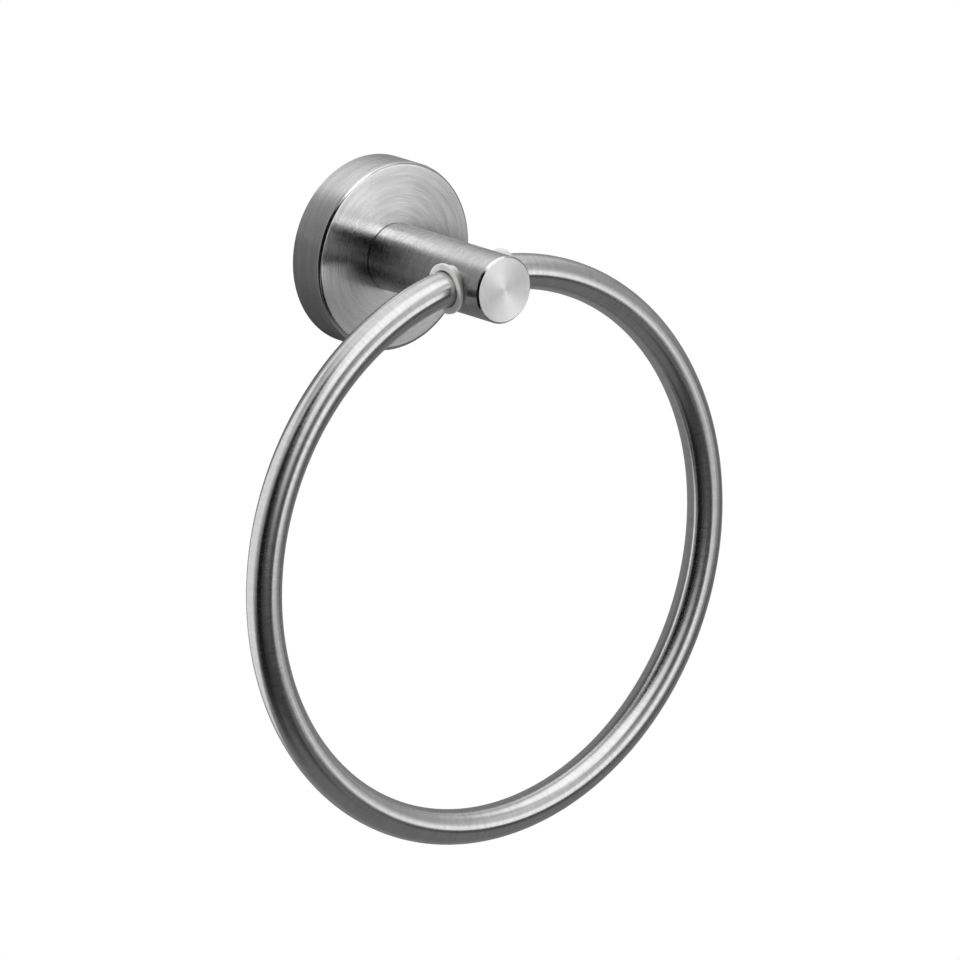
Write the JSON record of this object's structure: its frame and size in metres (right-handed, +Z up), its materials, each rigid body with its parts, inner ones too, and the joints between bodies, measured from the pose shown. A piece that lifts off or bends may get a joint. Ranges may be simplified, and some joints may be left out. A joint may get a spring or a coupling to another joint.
{
  "type": "towel ring",
  "caption": "Round towel ring of brushed steel tube that swings from a short turned post on a cupped round flange, held on the wall by a hidden bracket.",
  "frame": {"origin": "centre of the flange on the wall's surface, midway between the bracket's two wall slots", "axes": "+Z up, +Y into the wall, so the post points along -Y; X runs along the wall and along the ring's pivot"},
  "size_m": [0.1594, 0.0575, 0.1792],
  "materials": {
    "flange_steel": "brushed in circles on the face and along the rim",
    "post_steel": "brushed round the bar, fine turned end face",
    "ring_steel": "brushed round the tube",
    "bracket_steel": "bright zinc plated sheet",
    "fastener_steel": "plain machined steel",
    "bushing_nylon": "natural white moulded nylon"
  },
  "bodies": {
    "wall_post": {"wall_bracket": "bracket_steel", "flange_cover": "flange_steel", "set_screw": "fastener_steel", "lock_washer": "fastener_steel", "post_screw": "fastener_steel", "post": "post_steel", "bushing_left": "bushing_nylon", "bushing_right": "bushing_nylon"},
    "ring": {"towel_ring": "ring_steel"}
  },
  "joints": [
    {"name": "ring_swing", "type": "hinge", "parent": "wall_post", "child": "ring", "pos_m": [0, -0.045, 0], "axis": [-1, 0, 0], "range_deg": [-15.5, 195.5]}
  ]
}
